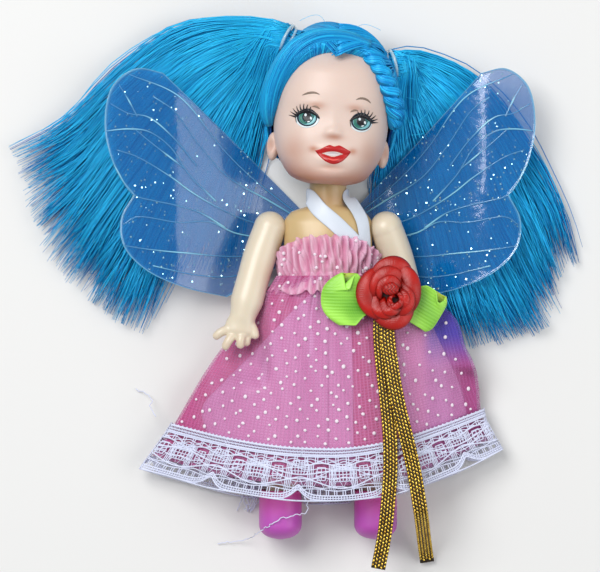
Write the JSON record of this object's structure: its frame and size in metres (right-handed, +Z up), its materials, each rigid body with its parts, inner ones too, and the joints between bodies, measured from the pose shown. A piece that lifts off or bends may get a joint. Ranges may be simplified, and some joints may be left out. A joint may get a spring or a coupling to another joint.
{
  "type": "doll",
  "caption": "Small winged doll lying on its back, with long bunches of hair, a gathered net dress, a ribbon flower and slip-on shoes; head, arms and legs turn.",
  "frame": {"origin": "middle of the flat underside of the wings' hub, which lies on the table behind the doll's back", "axes": "+Z up off the table, the way the face looks; +Y towards the head; +X to the doll's own left"},
  "size_m": [0.1169, 0.1165, 0.0249],
  "materials": {
    "torso_plastic": "smooth hard plastic",
    "face_vinyl": "soft satin vinyl with a printed face",
    "limb_vinyl": "soft glossy vinyl",
    "hair_fibre": "glossy straight nylon fibre",
    "clear_elastic": "clear and shiny",
    "wing_plastic": "clear tinted sheet with glitter",
    "bodice_cloth": "gathered satin",
    "elastic_thread": "covered thread",
    "white_satin": "satin ribbon",
    "lining_cloth": "thin smooth lining",
    "dotted_tulle": "sheer net with small white dots",
    "lace": "openwork thread lace",
    "red_satin": "satin ribbon",
    "green_ribbon": "satin ribbon",
    "gold_braid": "metallic woven braid",
    "shoe_vinyl": "soft vinyl"
  },
  "bodies": {
    "torso": {"torso_front": "torso_plastic", "torso_back": "torso_plastic", "wings": "wing_plastic", "bodice": "bodice_cloth", "bodice_elastic": "elastic_thread", "halter_ribbon": "white_satin", "underskirt": "lining_cloth", "overskirt": "dotted_tulle", "lace_trim": "lace", "rose": "red_satin", "right_leaf_loop": "green_ribbon", "left_leaf_loop": "green_ribbon", "right_gold_tail": "gold_braid", "left_gold_tail": "gold_braid"},
    "head": {"head_shell": "face_vinyl", "scalp_hair": "hair_fibre", "front_roll": "hair_fibre", "side_twist": "hair_fibre", "right_hair_tie": "clear_elastic", "left_hair_tie": "clear_elastic", "right_pigtail": "hair_fibre", "left_pigtail": "hair_fibre"},
    "right_arm": {"right_arm": "limb_vinyl"},
    "left_arm": {"left_arm": "limb_vinyl"},
    "right_leg": {"right_leg": "limb_vinyl"},
    "left_leg": {"left_leg": "limb_vinyl"},
    "right_shoe": {"right_shoe": "shoe_vinyl"},
    "left_shoe": {"left_shoe": "shoe_vinyl"}
  },
  "joints": [
    {"name": "head_turn", "type": "hinge", "parent": "torso", "child": "head", "pos_m": [0, 0.016, 0.0086], "axis": [0.0698, 0.9976, 0], "range_deg": [-75, 75], "deforming": ["right_pigtail", "left_pigtail"]},
    {"name": "right_arm_swing", "type": "hinge", "parent": "torso", "child": "right_arm", "pos_m": [-0.0136, 0.0025, 0.0086], "axis": [-1, 0, 0], "range_deg": [0, 150]},
    {"name": "left_arm_swing", "type": "hinge", "parent": "torso", "child": "left_arm", "pos_m": [0.0136, 0.0025, 0.0086], "axis": [-1, 0, 0], "range_deg": [0, 150], "deforming": ["underskirt", "overskirt", "left_leaf_loop", "left_gold_tail", "rose"]},
    {"name": "right_leg_swing", "type": "hinge", "parent": "torso", "child": "right_leg", "pos_m": [-0.0058, -0.0205, 0.0086], "axis": [-1, 0, 0], "range_deg": [0, 75], "deforming": ["underskirt", "overskirt", "lace_trim"]},
    {"name": "left_leg_swing", "type": "hinge", "parent": "torso", "child": "left_leg", "pos_m": [0.0058, -0.0205, 0.0086], "axis": [-1, 0, 0], "range_deg": [0, 75], "deforming": ["underskirt", "overskirt", "lace_trim", "right_gold_tail", "left_gold_tail"]},
    {"name": "right_shoe_slide", "type": "slide", "parent": "right_leg", "child": "right_shoe", "axis": [0, -1, 0], "range_m": [0, 0.014]},
    {"name": "left_shoe_slide", "type": "slide", "parent": "left_leg", "child": "left_shoe", "axis": [0, -1, 0], "range_m": [0, 0.014], "deforming": ["right_gold_tail"]}
  ]
}
